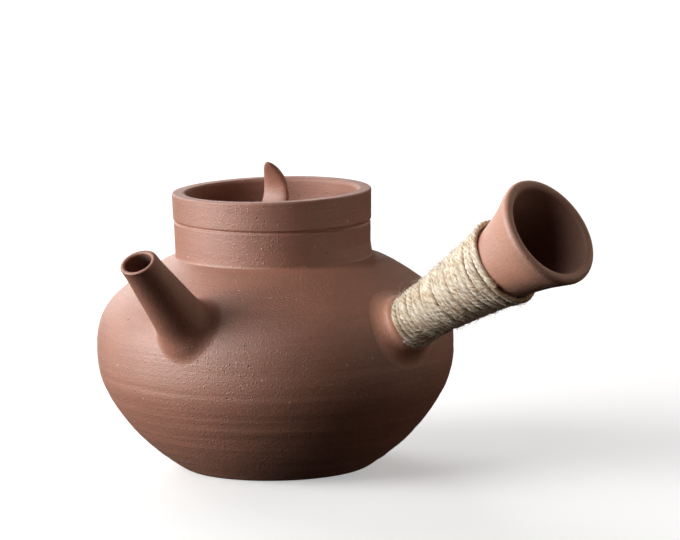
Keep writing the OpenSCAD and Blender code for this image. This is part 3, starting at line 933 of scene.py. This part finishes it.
def make_flange():
    """The ring under the lid, with rounded lower edges, let a little into the lid."""
    inner, low, high = FLANGE_R - FLANGE_T, SEAT_Z - FLANGE_DEPTH, SEAT_Z + 0.3
    profile = np.concatenate((
        line((inner, high)),
        arc((inner + SMALL_EDGE, low + SMALL_EDGE), SMALL_EDGE, 180.0, 270.0, 6),
        arc((FLANGE_R - SMALL_EDGE, low + SMALL_EDGE), SMALL_EDGE, 270.0, 360.0, 6),
        line((FLANGE_R, high), (inner, high))))
    points = turned(spaced(profile, LID_STEP)[:-1], LID_COLUMNS)
    closed_clay("lid_ring", points, thrown_clay, "lid", "lid_flange")


KNOB_W = 11.8
KNOB_T = 3.8
KNOB_BACK = 3.3
KNOB_CURL = 7.8
KNOB_LOW = 0.48
KNOB_HOLLOW = 2.2
KNOB_RUN_OUT = 0.8


def make_knob():
    """The knob: ovals along a bowed spine that stands back in the middle and curls forward at the tip.

    Width and thickness draw in to a round tip, swell at the foot and run out into the lid in a hollow curve.
    """
    columns = 56
    u = np.sin(np.linspace(0.0, pi / 2, 64))[:-1, None]
    z = KNOB_H * u
    bend = -KNOB_BACK + KNOB_CURL * ((u - KNOB_LOW) / (1 - KNOB_LOW)) ** 2
    lean = smooth(u * 4) * np.arctan(2 * KNOB_CURL * (u - KNOB_LOW) / (1 - KNOB_LOW) ** 2 / KNOB_H)
    below = np.clip(KNOB_HOLLOW - z, 0.0, KNOB_HOLLOW)
    spread = KNOB_RUN_OUT * (KNOB_HOLLOW - np.sqrt(KNOB_HOLLOW ** 2 - below ** 2))
    half_w = KNOB_W / 2 * (1 - u ** 3.2) ** 0.58 * (1 + 0.2 * (1 - u) ** 6) + spread
    half_t = KNOB_T / 2 * (1 - u ** 6) ** 0.5 * (1 + 0.7 * (1 - u) ** 6) + spread
    phi = round_angles(columns)[None, :]
    thick = half_t * np.sign(np.cos(phi)) * np.abs(np.cos(phi)) ** 0.7
    ahead = bend + thick * np.cos(lean)
    aside = half_w * np.sign(np.sin(phi)) * np.abs(np.sin(phi)) ** 0.8
    height = z - thick * np.sin(lean) - 0.12 * (1 - smooth(z / 0.4))
    tip = np.array((KNOB_CURL - KNOB_BACK, 0.0, KNOB_H))
    local = np.concatenate((np.stack((ahead, aside, height), axis=-1).reshape(-1, 3), tip[None]))
    face_x, face_y = FACE
    points = np.column_stack((local[:, 0] * face_x - local[:, 1] * face_y,
                              local[:, 0] * face_y + local[:, 1] * face_x, local[:, 2] + LID_TOP))
    rows = len(u)
    faces = grid_quads(rows, columns, False)
    faces += fan((rows - 1) * columns, columns, rows * columns, True)
    faces.append(list(range(columns))[::-1])
    make_piece("tongue_knob", points, faces, luted_clay, "lid", ("lid_knob",))


# The jute binding
YARN_R = 1.18
YARN_TURNS = 30
YARN_START = 2.2
YARN_FROM = 3.5
YARN_TO = 60.2
YARN_STEPS = 132
YARN_SIDES = 15
YARN_WANDER = 0.50
YARN_UNEVEN = 0.20
BINDING_AT = (2.0, 4.0, 8.0, 12.0, 15.0, 20.0, 30.0, 40.0, 52.0, 60.0)
BINDING_T = (3.7, 3.7, 3.2, 3.0, 2.9, 2.4, 2.25, 2.15, 2.2, 2.15)
PLY_PITCH = 7.0
PLY_R = 0.66
PLY_OFF = 0.36
# Turn round the handle of the side that faces the lamps, for the painted shade on the yarn
LIGHT_SIDE_TURN = 0.35
FIBRES = 2600
FIBRE_KNOTS = 4
FIBRE_SIDES = 3
FIBRE_SEED = 21


def slow_noise(x, waves, seed):
    """Sum of sines of unrelated lengths with seeded phases, about one high."""
    draw = np.random.default_rng(seed)
    phases = draw.uniform(0.0, TAU, len(waves))
    return sum(np.sin(TAU * x / wave + phase) for wave, phase in zip(waves, phases)) / sqrt(len(waves))


def yarn_line():
    """The yarn's middle line and the distance along it.

    Slow noise shifts the turns. The binding is thickest at the root, most of all in front, and swells again
    next to the bell. Low in front the first turn lies back, and early turns are drawn outwards below.
    """
    turn = np.arange(YARN_TURNS * YARN_STEPS + 1) / YARN_STEPS
    phi = TAU * turn + YARN_START
    low_side = near(phi, 172.0, 42.0)
    front = near(phi, 132.0, 48.0)
    first = smooth((1.6 - turn) / 0.5)
    t = YARN_FROM + (YARN_TO - YARN_FROM) * (turn / YARN_TURNS)
    t = t + YARN_WANDER * slow_noise(turn, (1.0, 1.7, 3.1, 0.62), 3) * smooth(turn / 0.6)
    t = t + low_side * 0.55 * smooth((turn - 1.8) / 0.5) * smooth((9.0 - turn) / 6.0)
    t = t - 0.9 * first * front
    thickness = np.interp(t, BINDING_AT, BINDING_T)
    thickness = thickness + 0.9 * low_side * smooth((t - 50.0) / 8.0) + 0.5 * first * front
    thickness = thickness + np.interp(t, (3.0, 12.0), (-0.35, 0.25)) * np.cos(phi)
    thickness = thickness + np.interp(t, (4.0, 14.0), (1.8, 0.0)) * near(phi, 95.0, 55.0)
    thickness = thickness + 0.9 * smooth((t - 55.0) / 3.0) * near(phi, 12.0, 55.0)
    r = np.maximum(trumpet_radius(t), GRIP_R) + thickness - YARN_R
    r = r + YARN_UNEVEN * slow_noise(turn, (0.83, 1.37, 2.3), 5)
    points = tube_point(handle_place, t, r, phi)
    return points, run_along(points)


def make_binding():
    """The binding: a three-ply yarn whose section of three lobes turns as it runs along the winding.

    The section is the outline of three circles; their radius and offset are shares of the yarn's.
    """
    points, run = yarn_line()
    forward = unit(np.gradient(points, axis=0))
    start, axis, over, aside = handle_place
    out = points - start - ((points - start) @ axis)[:, None] * axis
    side = unit(np.cross(forward, out))
    up = np.cross(side, forward)
    twist = TAU * run / PLY_PITCH + 0.8 * slow_noise(run, (23.0, 41.0, 67.0), 8)
    psi = round_angles(YARN_SIDES)[None, :]
    lobe = np.abs((psi * 3 / TAU) % 1.0 - 0.5) * TAU / 3
    reach = PLY_OFF * np.cos(lobe) + np.sqrt(PLY_R ** 2 - (PLY_OFF * np.sin(lobe)) ** 2)
    swell = 1 + 0.10 * slow_noise(run, (9.0, 15.0, 29.0), 9)[:, None]
    radius = YARN_R * reach * swell
    angle = psi - twist[:, None]
    around = np.cos(angle)[..., None] * up[:, None, :] + np.sin(angle)[..., None] * side[:, None, :]
    body = points[:, None, :] + radius[..., None] * around
    ends = np.stack((points[0] - 0.6 * forward[0], points[-1] + 0.6 * forward[-1]))
    yarn = make_piece("jute_binding", np.concatenate((body.reshape(-1, 3), ends)),
                      capped_grid(len(points), YARN_SIDES), jute, "kettle", ("handle_binding",))
    flat = np.stack((run[:, None] + 0 * psi, radius * np.cos(psi), radius * np.sin(psi)), axis=-1)
    tips = np.array(((run[0], 0.0, 0.0), (run[-1], 0.0, 0.0)))
    mark_lay(yarn, np.concatenate((flat.reshape(-1, 3), tips)))
    # Painted shade: 0 on the side of the grip that faces the lamps, 1 on the side away from them
    light_side = cos(LIGHT_SIDE_TURN) * over + sin(LIGHT_SIDE_TURN) * aside
    painted_shade = 0.5 - 0.5 * unit(out) @ light_side
    mark(yarn, "painted_shade", np.concatenate((np.repeat(painted_shade, YARN_SIDES), painted_shade[[0, -1]])))
    return points, forward, up, side, painted_shade


def make_fibres(points, forward, up, side, painted_shade):
    """Loose jute fibres: thin three-sided hairs that leave the yarn, run along it and bend away.

    Each hair runs forward or back with some scatter, and a drift grows with the square of the way. A few
    loose ones stand off further.
    """
    draw = np.random.default_rng(FIBRE_SEED)
    at = draw.integers(0, len(points), FIBRES)
    lean = draw.normal(0.0, 0.75, FIBRES)
    out = np.cos(lean)[:, None] * up[at] + np.sin(lean)[:, None] * side[at]
    loose = draw.random(FIBRES)[:, None] ** 6
    root = points[at] + 0.95 * YARN_R * out
    way = np.where(draw.random(FIBRES) < 0.5, -1.0, 1.0)[:, None] * forward[at]
    run = unit(way + draw.normal(0.0, 0.16, (FIBRES, 3)) + (0.05 + 0.6 * loose) * out)
    drift = 0.35 * draw.normal(0.0, 1.0, (FIBRES, 3)) - 0.35 * (1 - loose) * out
    length = draw.gamma(5.0, 0.62, FIBRES)[:, None]
    s = np.linspace(0.0, 1.0, FIBRE_KNOTS)[None, :, None]
    path = root[:, None] + length[:, None] * (s * run[:, None] + 0.22 * s ** 2 * drift[:, None])
    ahead = unit(np.gradient(path, axis=1))
    first = unit(np.cross(ahead, np.array((0.31, 0.77, 0.56))))
    second = np.cross(ahead, first)
    thin = (draw.uniform(0.05, 0.10, FIBRES)[:, None] * np.linspace(1.0, 0.45, FIBRE_KNOTS))[..., None, None]
    psi = round_angles(FIBRE_SIDES)[None, None, :, None]
    hair = path[:, :, None] + thin * (np.cos(psi) * first[:, :, None] + np.sin(psi) * second[:, :, None])
    each = FIBRE_KNOTS * FIBRE_SIDES
    offset = (np.arange(FIBRES) * each)[:, None, None]
    sides = np.array(grid_quads(FIBRE_KNOTS, FIBRE_SIDES, False))
    caps = np.array(((2, 1, 0), (each - 3, each - 2, each - 1)))
    faces = (sides[None] + offset).reshape(-1, 4).tolist()
    faces += (caps[None] + offset).reshape(-1, 3).tolist()
    fibres = make_piece("jute_fibres", hair, faces, jute, "kettle")
    # The hairs take the painted shade of the yarn where they leave it
    mark(fibres, "painted_shade", np.repeat(painted_shade[at], each))
    across = psi[..., 0]
    along = 40.0 * np.arange(FIBRES)[:, None, None] + length[:, :, None] * s
    places = np.broadcast_arrays(along, 0.6 * np.cos(across), 0.6 * np.sin(across))
    mark_lay(fibres, np.stack(places, axis=-1))


pot = make_pot()
cut_pour_hole(pot)
make_spout()
make_handle()
make_collar()
make_seat()
make_lid()
make_flange()
make_knob()
make_fibres(*make_binding())


# Floor, light and camera; the distances of camera and lights are in metres
VIEW_RISE = radians(9.6)
VIEW_ROLL = radians(0.85)
VIEW_AWAY = 1.9
AIM_Z = 51.6
AIM_RIGHT = 27.7
AIM_UP = 29.8
FLOOR_REACH = 14000.0
FLOOR_DARK = (0.70, 0.70, 0.71, 1.0)
FLOOR_PALE = (0.76, 0.76, 0.76, 1.0)
FLOOR_GLOW = 0.55
LIGHTS_AIM = np.array((0.0, 0.0, 0.06))
DAY = (1.0, 1.02, 1.015)
CREAM = (1.0, 0.97, 0.92)
WARM = (1.0, 0.80, 0.66)
WORLD_GLOW = 0.006
WORLD_SEEN = 0.95


def pale_floor():
    """A wide pale floor with faint unevenness in its colour."""
    material, w = blank_material("pale floor")
    place = w.add("ShaderNodeTexCoord").outputs["Object"]
    shade = w.mix(w.noise(place, 3.0, 3.0), FLOOR_DARK, FLOOR_PALE)
    w.surface({"Base Color": shade, "Roughness": 0.7, "Emission Color": shade,
               "Emission Strength": FLOOR_GLOW})
    corners = line((-1, -1, 0), (1, -1, 0), (1, 1, 0), (-1, 1, 0)) * FLOOR_REACH
    mesh = new_mesh("floor", corners, [(0, 1, 2, 3)])
    mesh.materials.append(material)
    floor = new_object("floor", mesh)
    floor.visible_diffuse = False
    floor.visible_glossy = False


def looking(place, target, roll=0.0):
    """Matrix that puts an object at a place with its -Z axis towards the target and its X axis level."""
    back = unit(place - target)
    right = unit(np.cross(UP, back))
    over = np.cross(back, right)
    turned_right = cos(roll) * right - sin(roll) * over
    turned_over = cos(roll) * over + sin(roll) * right
    rows = np.column_stack((turned_right, turned_over, back, place))
    return Matrix([*rows.tolist(), [0.0, 0.0, 0.0, 1.0]])


def soft_light(name, place, power, width, height, colour):
    """A rectangular light that faces the kettle.

    Place is its angle to the left of the camera and its rise, in degrees, and its distance in metres.
    """
    data = bpy.data.lights.new(name, "AREA")
    data.shape = "RECTANGLE"
    data.size = width
    data.size_y = height
    data.energy = power
    data.color = colour
    lamp = new_object(name, data)
    aside, rise, away = radians(place[0]), radians(place[1]), place[2]
    level = -sin(aside) * VIEW_RIGHT - cos(aside) * VIEW_BACK
    spot = away * (cos(rise) * level + sin(rise) * UP)
    lamp.matrix_world = looking(spot, LIGHTS_AIM)


def photo_camera():
    """Long lens at the photograph's distance and height, turned so that the kettle sits as it does there."""
    middle = np.array((0.0, 0.0, AIM_Z)) * MM
    place = middle + VIEW_AWAY * (sin(VIEW_RISE) * UP - cos(VIEW_RISE) * VIEW_BACK)
    over = np.cross(unit(place - middle), VIEW_RIGHT)
    target = middle + (AIM_RIGHT * VIEW_RIGHT + AIM_UP * over) * MM
    data = bpy.data.cameras.new("photo_camera")
    data.sensor_width = 36.0
    data.lens = 239.7
    data.clip_start = 0.05
    data.clip_end = 60.0
    camera = new_object("photo_camera", data)
    camera.matrix_world = looking(place, target, VIEW_ROLL)
    bpy.context.scene.camera = camera


def studio_world():
    """A white surround that the camera sees bright, while it lights the kettle only faintly."""
    world = bpy.data.worlds.new("studio")
    world.use_nodes = True
    w = Wiring(world.node_tree)
    surround = world.node_tree.nodes["Background"].inputs
    seen = w.add("ShaderNodeLightPath").outputs["Is Camera Ray"]
    w.feed(w.span(seen, 0.0, 1.0, WORLD_GLOW, WORLD_SEEN), surround["Strength"])
    surround["Color"].default_value = (1.0, 1.0, 1.0, 1.0)
    bpy.context.scene.world = world


pale_floor()
soft_light("left_wall", (76.5, 14.0, 4.2), 208.0, 3.3, 2.0, DAY)
soft_light("left_ceiling", (62.0, 35.0, 4.2), 84.0, 3.0, 2.0, CREAM)
soft_light("sky", (80.0, 60.0, 4.0), 8.0, 3.0, 2.4, DAY)
soft_light("rear_left_wall", (155.0, 25.0, 4.2), 120.0, 3.2, 2.4, DAY)
soft_light("rear_right_wall", (-128.0, 24.0, 4.2), 33.0, 3.2, 2.4, WARM)
soft_light("right_wall", (-75.0, 3.0, 4.2), 21.0, 3.2, 1.0, WARM)
photo_camera()
studio_world()
bpy.context.scene.view_settings.view_transform = "Standard"
